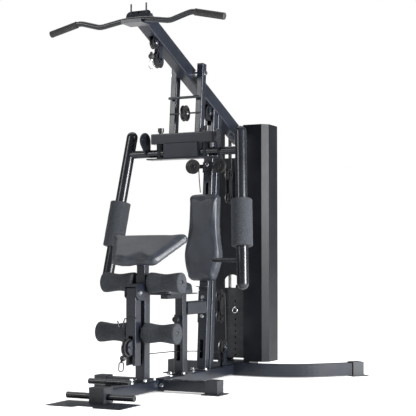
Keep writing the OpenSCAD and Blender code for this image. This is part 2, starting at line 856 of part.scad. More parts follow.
// one press arm, right side: sleeve, horizontal tube, arm tube, handle and cam
module arm() {
    dir = (arm_end - arm_top) / arm_len;
    yaw = atan2(dir[1], dir[0]);
    tilt = acos(dir[2]);
    color(frame_grey) difference() {
        union() {
            translate([arm_pivot[0], arm_pivot[1], 1315.6])
                cylinder(h = beam_low - 1315.6 - 0.6, d = 50);
            translate([arm_pivot[0] - 26, arm_pivot[1], arm_z]) rotate([0, 90, 0])
                cylinder(h = 366 - arm_pivot[0] + 26, d = 46);
            translate(arm_top) rotate([0, tilt, yaw]) {
                cylinder(h = arm_len, d = arm_d);
                sphere(d = arm_d);
                translate([0, 0, arm_len]) sphere(d = arm_d);
            }
            // inward handle
            bar_x([335, -78, 722], 180, 24);
            translate([245, -78, 722]) sphere(d = 24);
            // cam plate of the butterfly cable
            translate([237, 0, 0]) rotate([0, 0, 8]) rotate([90, 0, 90])
                linear_extrude(8, center = true) hull() {
                    translate([0, 1420]) circle(d = 96, $fn = 32);
                    translate([26, arm_z]) circle(d = 44, $fn = 24);
                }
        }
        translate([arm_pivot[0], arm_pivot[1], 1300]) cylinder(h = 110, d = 16 + 2 * pin_gap);
    }
}
module arm_right() { arm(); }
module arm_left() { mirror([1, 0, 0]) arm(); }

module arm_foam() {
    dir = (arm_end - arm_top) / arm_len;
    start = (arm_top[2] - 1062) / -dir[2];
    len = 268;
    color(foam_grey) translate(arm_top) rotate([0, acos(dir[2]), atan2(dir[1], dir[0])])
        translate([0, 0, start]) difference() {
            union() {
                cylinder(h = len, d = arm_foam_d - 8);
                translate([0, 0, 6]) cylinder(h = len - 12, d = arm_foam_d);
            }
            translate([0, 0, -1]) cylinder(h = len + 2, d = arm_d + 0.2);
        }
}
module arm_foam_right() { arm_foam(); }
module arm_foam_left() { mirror([1, 0, 0]) arm_foam(); }

// spring pin that runs down the arm pivot and locks the arm
module lock_pin(s) {
    color(dark_grey) translate([s * arm_pivot[0], arm_pivot[1], 0]) {
        translate([0, 0, 1309]) cylinder(h = beam_high - 1309 + 10, d = 15.9);
        translate([0, 0, beam_high + 1]) cylinder(h = 9, d = 24);
        translate([0, 0, beam_high + 10]) cylinder(h = 24, d = 36);
    }
}
module lock_pin_left() { lock_pin(-1); }
module lock_pin_right() { lock_pin(1); }

// ---------- pull-down bar ----------

bar_points = [for (p = [[0, 2012], [70, 2011], [140, 2000], [203, 1990], [225, 1991],
    [300, 2012], [330, 2020], [352, 2022], [420, 2006], [532, 1980]]) [p[0], bar_y, p[1]]];

module lat_bar() {
    right = bar_points;
    left = [for (k = [len(right) - 1 : -1 : 1]) [-right[k][0], right[k][1], right[k][2]]];
    color(frame_grey) cord(concat(left, right), 30, 16);
    color(dark_grey) for (s = [-1, 1]) {
        a = [s * 366, bar_y, 2018.6];
        b = [s * 538, bar_y, 1978.6];
        cord([a, b], 38, 20);
    }
}

// ball and hook that hang from the front pulley
module high_stopper() {
    p = [0, hang_y, 1862];
    color(dark_grey) {
        translate(p) sphere(d = 34);
        translate(p + [0, 0, 14]) cylinder(h = 12, d = cable_d);
    }
    color(bright) translate(p + [0, 0, -17]) rotate([0, 0, 35]) snap_hook();
}

// ---------- weight stack ----------

module stack_plate(z, h, w = plate_w) {
    difference() {
        translate([0, stack_y, z]) linear_extrude(h) polygon(rounded(w, stack_d, 6));
        for (s = [-1, 1]) translate([s * rod_gap / 2, stack_y, z - 1])
            cylinder(h = h + 2, d = rod_d + 2);
        translate([0, stack_y, z - 1]) cylinder(h = h + 2, d = 29);
    }
}

// hole for the selector pin at the middle of a plate's front face
module pin_hole(z) {
    translate([0, stack_y - stack_d, z]) rotate([-90, 0, 0]) cylinder(h = stack_d + 16, d = 11);
}

module weight_plates() {
    color(dark_grey) for (k = [0 : plates_down - 1]) difference() {
        stack_plate(stack_z + k * pitch, plate_h);
        pin_hole(stack_z + k * pitch + plate_h / 2);
    }
    // rubber buffers under the stack
    color(dark_grey) for (s = [-1, 1]) translate([s * rod_gap / 2, stack_y, 0]) difference() {
        translate([0, 0, rear_z + rear_tube_h + 8.2])
            cylinder(h = stack_z - rear_z - rear_tube_h - 8.4, d = 46);
        cylinder(h = 200, d = rod_d + 1);
    }
}

module weight_top() {
    color(dark_grey) {
        for (k = [0, 1]) difference() {
            stack_plate(lift_z + k * pitch + 0.3, plate_h);
            pin_hole(lift_z + k * pitch + 0.3 + plate_h / 2);
        }
        stack_plate(lift_z + 2 * pitch + 0.3, top_plate_h);
    }
    // selector rod that hangs down the middle of the plates
    color(bright) difference() {
        translate([0, stack_y, stack_z + 6]) cylinder(
            h = lift_z + 2 * pitch + top_plate_h - stack_z + 60, d = 25);
        for (k = [0 : plates_down - 1]) pin_hole(stack_z + k * pitch + plate_h / 2);
        for (k = [0, 1]) pin_hole(lift_z + k * pitch + 0.3 + plate_h / 2);
    }
    color(dark_grey) difference() {
        translate([0, stack_y, lift_z + 2 * pitch + top_plate_h + 0.3]) cylinder(h = 18, d = 44);
        translate([0, stack_y, lift_z]) cylinder(h = 400, d = 25);
    }
}

module selector_pin() {
    z = lift_z + 0.3 + plate_h / 2;
    y0 = stack_y - stack_d / 2;
    color(bright) {
        translate([0, y0 - 10, z]) rotate([-90, 0, 0]) cylinder(h = 78, d = 10);
        translate([0, y0 - 8, z - 19]) rotate([90, 0, 0]) rotate_extrude()
            translate([16, 0]) circle(d = 6, $fn = 16);
    }
}

module guide_rods() {
    color(bright) for (s = [-1, 1]) translate([s * rod_gap / 2, stack_y, rod_low])
        cylinder(h = roof_z - 6 - rod_low, d = rod_d);
}

// lower and upper holders of the guide rods
module stack_bracket() {
    side = 110;
    y0 = rear_y + half;
    y1 = stack_y + 50;
    color(frame_grey) {
        difference() {
            union() {
                box([-side, y0, 40], [side, y1, 46]);
                for (x = [-side, side - 6]) box([x, y0, 46], [x + 6, y1, shroud_z - 6]);
                box([-side, y0, shroud_z - 6], [side, y1, shroud_z]);
            }
            for (s = [-1, 1]) translate([s * rod_gap / 2, stack_y, rod_low])
                cylinder(h = 40, d = rod_d);
        }
        difference() {
            box([-side, shroud_y + 14, roof_z - 6], [side, stack_y + 45, roof_z]);
            box([-boom_w / 2 - 5, shroud_y, roof_z - 20], [boom_w / 2 + 5, 772, roof_z + 1]);
        }
        difference() {
            box([-24, boom_rear + 2, 1480], [24, stack_y + 30, roof_z - 6]);
            on_boom() box([-60, -900, -boom_h / 2], [60, along(boom_rear), boom_h / 2]);
        }
    }
}

module shroud() {
    color(dark_grey) translate([0, shroud_y, shroud_z]) {
        for (s = [0, 1]) mirror([s, 0, 0]) {
            // front face, chamfer and side of one cover
            linear_extrude(shroud_h) polygon([[64, 0], [190, 0], [226, 34], [226, 172],
                [222, 172], [222, 36], [188, 4], [64, 4]]);
            // closed top
            translate([0, 0, shroud_h - 4]) linear_extrude(4)
                polygon([[64, 0], [190, 0], [226, 34], [226, 172], [180, 172], [150, 60],
                    [64, 30]]);
            // return that carries the middle panel
            translate([64, -panel_out, 480]) cube([4, panel_out, 800]);
        }
        // panel between the covers, arched at its lower edge
        translate([0, 4 - panel_out, 0]) rotate([90, 0, 0]) linear_extrude(4)
            difference() {
                translate([-64, 480]) square([128, 800]);
                translate([0, 480]) circle(r = 63);
            }
    }
}

// ---------- cables and floating pulleys ----------

// floating block: two pulleys one above the other between two plates
module carriage(c, gap) {
    color(dark_grey) for (s = [-1, 1]) translate(c + [0, 0, s * gap / 2]) pulley(80, 20, 10);
    color(frame_grey) for (s = [-1, 1]) translate(c + [s * 13, 0, 0]) rotate([0, 90, 0])
        linear_extrude(4, center = true) difference() {
            polygon(rounded(gap + 50, 36, 16));
            for (t = [-1, 1]) translate([t * gap / 2, 0]) circle(d = 10);
        }
    color(bright) for (s = [-1, 1]) translate(c + [0, 0, s * gap / 2]) pulley_bolt(30);
}
module carriage_upper() { carriage([0, 650, 1184], 144); }
module carriage_lower() { carriage([0, 520, 440], 124); }

module cables() {
    r = pulley_d / 2 - 5;
    color(dark_grey) {
        // high cable: over the front pulley, down the inside of the boom, over the
        // top pulley and back through the uprights to the upper carriage
        cord(concat([[0, hang_y, 1888.4], [0, hang_y, 1908]],
            arc_yz(front_c, 30, 180, 66, 5),
            arc_yz(top_c, r, 66, 31, 3),
            [[0, 605, 1263]]));
        // fixed end of the high cable, down from its anchor
        cord([[0, anchor_y, 1484], [0, anchor_y, 1400], [0, anchor_y, 1283]]);
        // low cable: straight back through the posts and round the rear pulley
        cord(concat([[0, -508, low_cable_z], [0, -400, 214], [0, -100, 206], [0, 160, 190],
             [0, 400, 170], [0, 520, 156]],
            arc_yz(low_rear_c, r, 262, 360, 5),
            [[0, 604, 260], [0, 596, 420], [0, 588, 520]]));
    }
}

module arm_cables() {
    color(dark_grey) for (s = [-1, 1]) {
        cord([[s * 218, 70, 1334], [s * 160, 190, 1338], [s * 110, 290, 1341],
            [s * 98, 306, 1340], [s * 88, 321, 1331], [s * 74, 322, 1328.5]]);
        cord([[s * 48, 322, 1290], [s * 47, 322, 1270], [s * 44, 324, 1200],
            [s * 40, 330, 1130]]);
    }
}

front_beam();
rear_beam();
front_stabilizer();
rear_cross_tube();
feet();
frame_bolts();
end_block();
foot_bars();
foot_plate();
front_post();
upper_axle();
seat_sleeve();
brace_beam();
front_upright();
rear_upright();
back_pad();
back_bracket();
boom();
bar_rack();
pulley_brackets();
press_axle();
guide_rods();
weight_plates();
shroud();
stack_bracket();
cables();
arm_cables();
upper_rollers();
curl_post();
curl_pad();
leg_lever();
lower_axle();
lower_rollers();
low_pulley();
low_stopper();
lever_bolt();
seat_stem();
seat_pad();
seat_pin();
lat_bar();
front_pulley();
drop_pulley();
top_pulley();
rear_low_pulley();
side_pulley_left();
side_pulley_right();
press_pulley();
high_stopper();
press_frame();
press_beam();
arm_left();
arm_right();
arm_foam_left();
arm_foam_right();
lock_pin_left();
lock_pin_right();
weight_top();
selector_pin();
carriage_upper();
carriage_lower();
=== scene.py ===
# %% [markdown]
# # A multi station home gym
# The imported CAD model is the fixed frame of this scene: every tube, joint and pulley
# is already in its real place. This lesson gives those pieces their finishes, and
# models the soft and rounded pieces that the CAD model only stands in for: the pads,
# the foam rollers and sleeves, the pull-down bar, a snap hook and the pulleys' bolts.

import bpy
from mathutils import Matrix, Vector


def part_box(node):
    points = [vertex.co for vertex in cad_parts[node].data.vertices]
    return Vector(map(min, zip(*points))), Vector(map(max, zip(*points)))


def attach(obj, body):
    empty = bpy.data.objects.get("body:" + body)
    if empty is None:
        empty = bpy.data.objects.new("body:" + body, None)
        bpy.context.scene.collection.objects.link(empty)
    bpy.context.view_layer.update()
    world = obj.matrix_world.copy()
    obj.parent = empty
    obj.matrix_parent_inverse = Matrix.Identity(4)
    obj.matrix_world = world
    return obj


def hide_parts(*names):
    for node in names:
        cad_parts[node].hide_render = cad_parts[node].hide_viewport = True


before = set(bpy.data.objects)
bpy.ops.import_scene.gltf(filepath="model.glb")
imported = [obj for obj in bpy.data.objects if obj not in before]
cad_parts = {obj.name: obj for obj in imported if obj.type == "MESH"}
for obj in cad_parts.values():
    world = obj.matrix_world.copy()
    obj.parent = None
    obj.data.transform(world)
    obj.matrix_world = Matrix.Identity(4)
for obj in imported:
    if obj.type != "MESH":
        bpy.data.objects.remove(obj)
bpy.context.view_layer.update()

# %% Blender's modules
import math

import bmesh
import bpy
from mathutils import Matrix, Vector
from mathutils.bvhtree import BVHTree

SCENE = bpy.context.scene
MM = 0.001

# %% [markdown]
# ## Camera
# A machine this tall is shown from its front right corner, from a fair distance with
# a long lens, so that its uprights stay almost parallel. The lens follows from the
# focal length in image widths, and the camera tilts up slightly to take in the boom.

# %% Camera
CAMERA_PLACE = Vector((3.0003, -5.7185, 0.7196))
CAMERA_TURN = math.radians(26.298)
CAMERA_TILT = math.radians(2.682)
FOCAL_IN_IMAGE_WIDTHS = 2.696
SENSOR_MM = 36.0


def make_camera():
    data = bpy.data.cameras.new("camera")
    data.sensor_width = SENSOR_MM
    data.lens = FOCAL_IN_IMAGE_WIDTHS * SENSOR_MM
    camera = bpy.data.objects.new("camera", data)
    camera.location = CAMERA_PLACE
    camera.rotation_euler = (math.pi / 2 + CAMERA_TILT, 0.0, CAMERA_TURN)
    SCENE.collection.objects.link(camera)
    SCENE.camera = camera
    bpy.context.view_layer.update()


make_camera()
print("camera", tuple(round(v, 2) for v in SCENE.camera.location))

# %% [markdown]
# ## Floor and light
# The machine is dark, so it is drawn by what its faces reflect. A very soft sun keeps
# the floor evenly white, a panel on the right gives the square tubes their pale right
# flanks, and a weaker one on the left lights the pads. The world looks white but
# shines only faintly, because a bright world would turn the dark paint grey.

# %% Floor
FLOOR_HALF = 40.0
FLOOR_WHITE = (0.96, 0.96, 0.96, 1.0)
FLOOR_GLOW = 0.42


def make_floor():
    bm = bmesh.new()
    bmesh.ops.create_grid(bm, x_segments=1, y_segments=1, size=FLOOR_HALF)
    mesh = bpy.data.meshes.new("studio_floor")
    bm.to_mesh(mesh)
    bm.free()
    floor = bpy.data.objects.new("studio_floor", mesh)
    SCENE.collection.objects.link(floor)
    paint = bpy.data.materials.new("studio_floor")
    paint.use_nodes = True
    shader = paint.node_tree.nodes["Principled BSDF"]
    shader.inputs["Base Color"].default_value = FLOOR_WHITE
    shader.inputs["Roughness"].default_value = 0.95
    shader.inputs["Specular IOR Level"].default_value = 0.1
    shader.inputs["Emission Color"].default_value = FLOOR_WHITE
    shader.inputs["Emission Strength"].default_value = FLOOR_GLOW
    floor.data.materials.append(paint)


make_floor()

# %% Lights and world
MACHINE_MIDDLE = Vector((0.0, 0.0, 1.0))
SUN_STRENGTH = 1.5
SUN_WIDTH = math.radians(70)
SUN_LEAN = (math.radians(-14), math.radians(-16), 0.0)
WORLD_SEEN = 1.0
WORLD_SHINING = 0.22


def soft_panel(name, place, size, watts):
    """A square area light that faces the middle of the machine."""
    data = bpy.data.lights.new(name, "AREA")
    data.size = size
    data.energy = watts
    light = bpy.data.objects.new(name, data)
    light.location = place
    aim = MACHINE_MIDDLE - Vector(place)
    light.rotation_euler = aim.to_track_quat("-Z", "Y").to_euler()
    SCENE.collection.objects.link(light)


def soft_sun(strength):
    """Nearly overhead, and as wide as an overcast sky, so its shadows are faint."""
    data = bpy.data.lights.new("sun", "SUN")
    data.energy = strength
    data.angle = SUN_WIDTH
    light = bpy.data.objects.new("sun", data)
    light.rotation_euler = SUN_LEAN
    SCENE.collection.objects.link(light)


def white_world(seen, shining):
    """White where the camera looks straight at it, faint as a source of light."""
    made = bpy.data.worlds.new("studio_white")
    made.use_nodes = True
    tree = made.node_tree
    faint = tree.nodes["Background"]
    bright = tree.nodes.new("ShaderNodeBackground")
    for shade, strength in ((faint, shining), (bright, seen)):
        shade.inputs["Color"].default_value = (1.0, 1.0, 1.0, 1.0)
        shade.inputs["Strength"].default_value = strength
    chosen = tree.nodes.new("ShaderNodeMixShader")
    ray = tree.nodes.new("ShaderNodeLightPath")
    tree.links.new(ray.outputs["Is Camera Ray"], chosen.inputs["Fac"])
    tree.links.new(faint.outputs["Background"], chosen.inputs[1])
    tree.links.new(bright.outputs["Background"], chosen.inputs[2])
    tree.links.new(chosen.outputs["Shader"], tree.nodes["World Output"].inputs["Surface"])
    return made


soft_sun(SUN_STRENGTH)
soft_panel("panel_left", (-3.4, -5.0, 3.6), 1.6, 110)
soft_panel("panel_right", (5.6, -0.6, 1.8), 2.0, 760)
world = white_world(WORLD_SEEN, WORLD_SHINING)
SCENE.world = world
SCENE.view_settings.view_transform = "Standard"
print("lights", [light.name for light in bpy.data.lights])

# %% [markdown]
# ## Finishes
# Every finish is a short stack of procedural layers on Object coordinates: a colour
# that drifts between two tones, a roughness that drifts too, and a bump for the
# surface's own texture. A small class keeps the repeated node work out of sight.

# %% A finish under construction


class Finish:
    """A material in the making, with short calls for the nodes that it needs."""

    def __init__(self, name):
        self.material = bpy.data.materials.new(name)
        self.material.use_nodes = True
        self.tree = self.material.node_tree
        self.shader = self.tree.nodes["Principled BSDF"]
        self.coords = self.tree.nodes.new("ShaderNodeTexCoord").outputs["Object"]

    def noise(self, scale, detail=3.0):
        made = self.tree.nodes.new("ShaderNodeTexNoise")
        made.inputs["Scale"].default_value = scale
        made.inputs["Detail"].default_value = detail
        self.tree.links.new(self.coords, made.inputs["Vector"])
        return made.outputs["Fac"]

    def cells(self, scale, feature):
        made = self.tree.nodes.new("ShaderNodeTexVoronoi")
        made.feature = feature
        made.inputs["Scale"].default_value = scale
        self.tree.links.new(self.coords, made.inputs["Vector"])
        return made.outputs["Distance"]

    def tone(self, pattern, low, high):
        """Base colour that drifts from low to high with the pattern."""
        made = self.tree.nodes.new("ShaderNodeValToRGB")
        for stop, place, colour in zip(made.color_ramp.elements, (0.35, 0.65), (low, high)):
            stop.position = place
            stop.color = (*colour, 1.0)
        self.tree.links.new(pattern, made.inputs["Fac"])
        self.tree.links.new(made.outputs["Color"], self.shader.inputs["Base Color"])

    def gloss(self, pattern, smooth, rough):
        """Roughness that drifts between two values with the pattern."""
        made = self.tree.nodes.new("ShaderNodeMapRange")
        made.inputs["To Min"].default_value = smooth
        made.inputs["To Max"].default_value = rough
        self.tree.links.new(pattern, made.inputs["Value"])
        self.tree.links.new(made.outputs["Result"], self.shader.inputs["Roughness"])

    def relief(self, pattern, strength, depth, below=None):
        """Bump layer; `below` is the layer under it."""
        made = self.tree.nodes.new("ShaderNodeBump")
        made.inputs["Strength"].default_value = strength
        made.inputs["Distance"].default_value = depth
        self.tree.links.new(pattern, made.inputs["Height"])
        if below is not None:
            self.tree.links.new(below, made.inputs["Normal"])
        self.tree.links.new(made.outputs["Normal"], self.shader.inputs["Normal"])
        return made.outputs["Normal"]

    def set(self, **values):
        for key, value in values.items():
            self.shader.inputs[key.replace("_", " ")].default_value = value
        return self.material


# %% [markdown]
# ### Powder coat
# The tubes are powder coated: a dark blue grey with a half gloss, a faint orange
# peel, and a thin clear skin that gives the pale edge lines.

# %% Powder coat


def powder_coat(name, low, high, smooth, rough, shine=0.34):
    finish = Finish(name)
    finish.tone(finish.noise(6.0), low, high)
    finish.gloss(finish.noise(20.0, 4.0), smooth, rough)
    speck = finish.relief(finish.noise(1500.0, 1.0), 0.3, 0.00002)
    finish.relief(finish.noise(380.0, 2.0), 0.4, 0.00004, below=speck)
    return finish.set(Coat_Weight=0.08, Coat_Roughness=0.15, Specular_IOR_Level=shine)


FRAME_PAINT = powder_coat("frame_powder_coat", (0.006, 0.008, 0.013), (0.010, 0.013, 0.021),
                          0.24, 0.36, shine=0.42)
COVER_PAINT = powder_coat("cover_powder_coat", (0.004, 0.005, 0.007), (0.007, 0.008, 0.011),
                          0.30, 0.42, shine=0.16)
BAR_PAINT = powder_coat("bar_powder_coat", (0.006, 0.007, 0.010), (0.010, 0.012, 0.016),
                        0.22, 0.32)

# %% [markdown]
# ### Grained vinyl
# The pads are covered in a dark grey vinyl. Voronoi cell edges give its pebbled
# grain, and a slow noise gives the soft dents of the foam under it.

# %% Grained vinyl


def grained_vinyl():
    finish = Finish("pad_vinyl")
    finish.tone(finish.noise(11.0, 4.0), (0.015, 0.018, 0.025), (0.024, 0.029, 0.039))
    finish.gloss(finish.noise(55.0), 0.36, 0.48)
    grain = finish.relief(finish.cells(520.0, "DISTANCE_TO_EDGE"), 0.30, 0.0005)
    finish.relief(finish.noise(30.0), 0.10, 0.004, below=grain)
    return finish.set(Sheen_Weight=0.02, Sheen_Roughness=0.5, Specular_IOR_Level=0.38)


PAD_VINYL = grained_vinyl()

# %% [markdown]
# ### Closed-cell foam
# The rollers and arm sleeves are bare foam. It scatters light, so it is rough and a
# little sheeny, speckled by its skin and pitted by open pores.

# %% Closed-cell foam


def closed_cell_foam():
    finish = Finish("roller_foam")
    finish.tone(finish.noise(230.0, 4.0), (0.010, 0.012, 0.016), (0.046, 0.051, 0.060))
    finish.gloss(finish.noise(90.0), 0.72, 0.88)
    pores = finish.relief(finish.cells(420.0, "F1"), 0.75, 0.0010)
    finish.relief(finish.noise(48.0, 4.0), 0.22, 0.0030, below=pores)
    return finish.set(Sheen_Weight=0.04, Sheen_Roughness=0.6, Specular_IOR_Level=0.25)


FOAM = closed_cell_foam()

# %% [markdown]
# ### Moulded plastic, rubber and cable
# One recipe serves all moulded pieces: two close tones, a drift in gloss, and a fine
# spark-eroded grain. Only the tones, the gloss and the grain's size differ.

# %% Moulded pieces


def moulded(name, low, high, smooth, rough, grain, depth):
    finish = Finish(name)
    finish.tone(finish.noise(18.0), low, high)
    finish.gloss(finish.noise(45.0), smooth, rough)
    finish.relief(finish.noise(grain, 2.0), 0.3, depth)
    return finish.material


BLACK_PLASTIC = moulded("black_plastic", (0.008, 0.008, 0.009), (0.015, 0.015, 0.017),
                        0.28, 0.42, 900.0, 0.0003)
FOOT_PLASTIC = moulded("foot_plastic", (0.009, 0.011, 0.014), (0.015, 0.018, 0.023),
                       0.40, 0.55, 700.0, 0.0004)
GRIP_RUBBER = moulded("grip_rubber", (0.010, 0.010, 0.011), (0.018, 0.018, 0.020),
                      0.55, 0.72, 300.0, 0.0006)
CABLE_COAT = moulded("cable_coat", (0.012, 0.012, 0.013), (0.020, 0.020, 0.022),
                     0.22, 0.32, 200.0, 0.0002)

# %% [markdown]
# ### Plating and cast plates
# Bolts, axles and guide rods are plated: a metal whose gloss is broken by fine
# wiping marks. The weight plates are coarse castings under a matt coat.

# %% Plating and castings


def plating():
    finish = Finish("bright_plating")
    finish.tone(finish.noise(30.0, 4.0), (0.58, 0.59, 0.61), (0.74, 0.75, 0.77))
    finish.gloss(finish.noise(120.0, 4.0), 0.10, 0.26)
    finish.relief(finish.noise(700.0, 2.0), 0.06, 0.0002)
    return finish.set(Metallic=1.0)


def cast_coat():
    finish = Finish("cast_plate_coat")
    finish.tone(finish.noise(25.0, 5.0), (0.009, 0.010, 0.013), (0.017, 0.019, 0.023))
    finish.gloss(finish.noise(70.0), 0.48, 0.66)
    finish.relief(finish.noise(240.0, 4.0), 0.35, 0.0010)
    return finish.material


PLATING = plating()
CAST_COAT = cast_coat()
print(len(bpy.data.materials), "finishes")

# %% [markdown]
# ### Finishes on the frame's own pieces
# A CAD piece whose shape is right stays, and takes its finish by name. Whatever is
# not listed is powder coated tube.

# %% Assign the finishes
FINISHES = {
    PLATING: ("frame_bolts", "press_axle", "upper_axle", "lower_axle", "guide_rods",
              "lever_bolt", "selector_pin"),
    COVER_PAINT: ("shroud",),
    FOOT_PLASTIC: ("feet", "end_block"),
    CAST_COAT: ("weight_plates", "weight_top"),
    CABLE_COAT: ("cables", "arm_cables"),
    BLACK_PLASTIC: ("low_pulley", "front_pulley", "drop_pulley", "top_pulley",
                    "rear_low_pulley", "side_pulley_left", "side_pulley_right",
                    "press_pulley", "carriage_upper", "carriage_lower", "low_stopper",
                    "high_stopper", "seat_pin", "lock_pin_left", "lock_pin_right"),
    FOAM: ("upper_rollers", "lower_rollers", "arm_foam_left", "arm_foam_right"),
    PAD_VINYL: ("back_pad", "curl_pad", "seat_pad"),
    BAR_PAINT: ("lat_bar", "arm_left", "arm_right", "foot_bars"),
}
FINISH_OF = {node: finish for finish, nodes in FINISHES.items() for node in nodes}
for node_name, node_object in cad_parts.items():
    node_object.data.materials.clear()
    node_object.data.materials.append(FINISH_OF.get(node_name, FRAME_PAINT))
print(len(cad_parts), "CAD pieces dressed")

# %% [markdown]
# ## Shared modelling helpers
# Three moves make most pieces here: turning a profile on a lathe, sweeping a ring
# along a path, and turning a finished bmesh into a piece that rides on its body.

# %% Finish a bmesh as a riding piece


def add_piece(name, bm, finish, body, sharp=40.0):
    """Turn the bmesh into an object that rides on the body."""
    bmesh.ops.remove_doubles(bm, verts=bm.verts, dist=1e-6)
    bmesh.ops.recalc_face_normals(bm, faces=bm.faces)
    mesh = bpy.data.meshes.new(name)
    bm.to_mesh(mesh)
    bm.free()
    mesh.polygons.foreach_set("use_smooth", [True] * len(mesh.polygons))
    mesh.set_sharp_from_angle(angle=math.radians(sharp))
    mesh.materials.append(finish)
    piece = bpy.data.objects.new(name, mesh)
    SCENE.collection.objects.link(piece)
    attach(piece, body)
    return piece


# %% Turn a profile on a lathe


def lathe(bm, profile, steps, place=Matrix.Identity(4)):
    """Spin (radius, height) points about Z, then put the result at place."""
    verts = [bm.verts.new((radius, 0.0, height)) for radius, height in profile]
    edges = [bm.edges.new(pair) for pair in zip(verts, verts[1:])]
    before = set(bm.verts) - set(verts)
    bmesh.ops.spin(bm, geom=verts + edges, cent=(0, 0, 0), axis=(0, 0, 1),
                   angle=2 * math.pi, steps=steps, use_merge=True)
    made = [v for v in bm.verts if v not in before]
    bmesh.ops.remove_doubles(bm, verts=made, dist=1e-6)
    made = [v for v in bm.verts if v not in before]
    bmesh.ops.transform(bm, matrix=place, verts=made)


# %% Sweep a ring along a path


def soften(points, radius, steps=6):
    """Round the corners of a path with short curves."""
    points = [Vector(p) for p in points]
    path = [points[0]]
    for before, corner, after in zip(points, points[1:], points[2:]):
        reach = min(radius, (corner - before).length / 2, (after - corner).length / 2)
        start = corner + (before - corner).normalized() * reach
        end = corner + (after - corner).normalized() * reach
        for k in range(steps + 1):
            t = k / steps
            path.append(start.lerp(corner, t).lerp(corner.lerp(end, t), t))
    path.append(points[-1])
    return path


def sweep(bm, path, radius, sides=12, closed=False):
    """Extrude a ring from point to point, turning it with the path."""
    path = [p for k, p in enumerate(path) if k == 0 or (p - path[k - 1]).length > 1e-5]
    count = len(path)
    ways = []
    for k in range(count):
        ahead = path[(k + 1) % count] if closed else path[min(k + 1, count - 1)]
        behind = path[k - 1] if closed else path[max(k - 1, 0)]
        ways.append((ahead - behind).normalized())
    turn = Vector((0, 0, 1)).rotation_difference(ways[0])
    spot = Matrix.Translation(path[0]) @ turn.to_matrix().to_4x4()
    ring = bmesh.ops.create_circle(bm, segments=sides, radius=radius, matrix=spot)["verts"]
    edges = list({e for v in ring for e in v.link_edges})
    first = edges
    for k in range(1, count):
        step = ways[k - 1].rotation_difference(ways[k])
        move = (Matrix.Translation(path[k]) @ step.to_matrix().to_4x4()
                @ Matrix.Translation(-path[k - 1]))
        grown = bmesh.ops.extrude_edge_only(bm, edges=edges)["geom"]
        ring = [g for g in grown if isinstance(g, bmesh.types.BMVert)]
        edges = [g for g in grown if isinstance(g, bmesh.types.BMEdge)
                 and g.verts[0] in ring and g.verts[1] in ring]
        bmesh.ops.transform(bm, matrix=move, verts=ring)
    if closed:
        bmesh.ops.bridge_loops(bm, edges=first + edges)
    else:
        bmesh.ops.edgeloop_fill(bm, edges=first)
        bmesh.ops.edgeloop_fill(bm, edges=edges)


def middle(node):
    """Centre of a CAD node's box."""
    low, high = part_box(node)
    return (low + high) / 2


print("helpers ready")

# %% [markdown]
# ## Padded pieces
# Each pad is a foam block on a board, wrapped in vinyl. The block starts as a flat
# outline, is extruded to its thickness and bevelled, and is then remeshed evenly so
# that the cloth simulation can swell it. The board side is held, so it stays flat.

# %% Place of a tilted slab, from its CAD box


def slab(node, tilt):
    """Length, thickness and place of a slab that rises to the rear at tilt."""
    low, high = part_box(node)
    size = high - low
    c, s = math.cos(tilt), math.sin(tilt)
    length = (size.y * c - size.z * s) / math.cos(2 * tilt)
    thick = (size.z * c - size.y * s) / math.cos(2 * tilt)
    corner = Vector((0.0, high.y - length * c, low.z))
    place = Matrix.Translation(corner) @ Matrix.Rotation(tilt, 4, "X")
    return length, thick, place


# %% Foam block from an outline


def foam_block(outline, thick, edge):
    """Closed block on z = 0 with its rim rounded by edge."""
    bm = bmesh.new()
    verts = [bm.verts.new((x, y, 0.0)) for x, y in outline]
    base = bm.faces.new(verts)
    grown = bmesh.ops.extrude_face_region(bm, geom=[base])["geom"]
    top = [g for g in grown if isinstance(g, bmesh.types.BMVert)]
    bmesh.ops.translate(bm, verts=top, vec=(0, 0, thick))
    bmesh.ops.recalc_face_normals(bm, faces=bm.faces)
    rim = [e for e in bm.edges if e.verts[0] in top and e.verts[1] in top]
    bmesh.ops.bevel(bm, geom=rim, offset=edge, offset_type="OFFSET", segments=5,
                    profile=0.5, affect="EDGES", material=-1, clamp_overlap=True)
    return bm


# %% Even remesh and cloth
VOXEL = 5 * MM
CLOTH_FRAMES = 20
CLOTH_PRESSURE = 4.0


def even_mesh(piece, voxel):
    """Replace the mesh with an even one, ready to simulate."""
    remesh = piece.modifiers.new("even", "REMESH")
    remesh.mode = "VOXEL"
    remesh.voxel_size = voxel
    graph = bpy.context.evaluated_depsgraph_get()
    even = bpy.data.meshes.new_from_object(piece.evaluated_get(graph))
    piece.modifiers.remove(remesh)
    old, piece.data = piece.data, even
    even.name = piece.name
    bpy.data.meshes.remove(old)


def swell(piece, held_below, reach):
    """Blow the pad up with cloth; no point moves further than reach."""
    start = [v.co.copy() for v in piece.data.vertices]
    held = piece.vertex_groups.new(name="held")
    held.add([k for k, p in enumerate(start) if p.z < held_below], 1.0, "REPLACE")
    cloth = piece.modifiers.new("cloth", "CLOTH")
    cloth.settings.quality = 5
    cloth.settings.use_pressure = True
    cloth.settings.uniform_pressure_force = CLOTH_PRESSURE
    cloth.settings.effector_weights.gravity = 0.0
    cloth.settings.vertex_group_mass = held.name
    cloth.point_cache.frame_start = 1
    cloth.point_cache.frame_end = CLOTH_FRAMES
    for step in range(1, CLOTH_FRAMES + 1):
        SCENE.frame_set(step)
    graph = bpy.context.evaluated_depsgraph_get()
    swollen = [v.co.copy() for v in piece.evaluated_get(graph).data.vertices]
    piece.modifiers.remove(cloth)
    piece.vertex_groups.remove(held)
    for vertex, before, after in zip(piece.data.vertices, start, swollen):
        move = after - before
        if move.length > reach:
            move = move.normalized() * reach
        vertex.co = before + move
    SCENE.frame_set(1)


# %% One pad from outline to finished piece
PAD_SWELL = 7 * MM


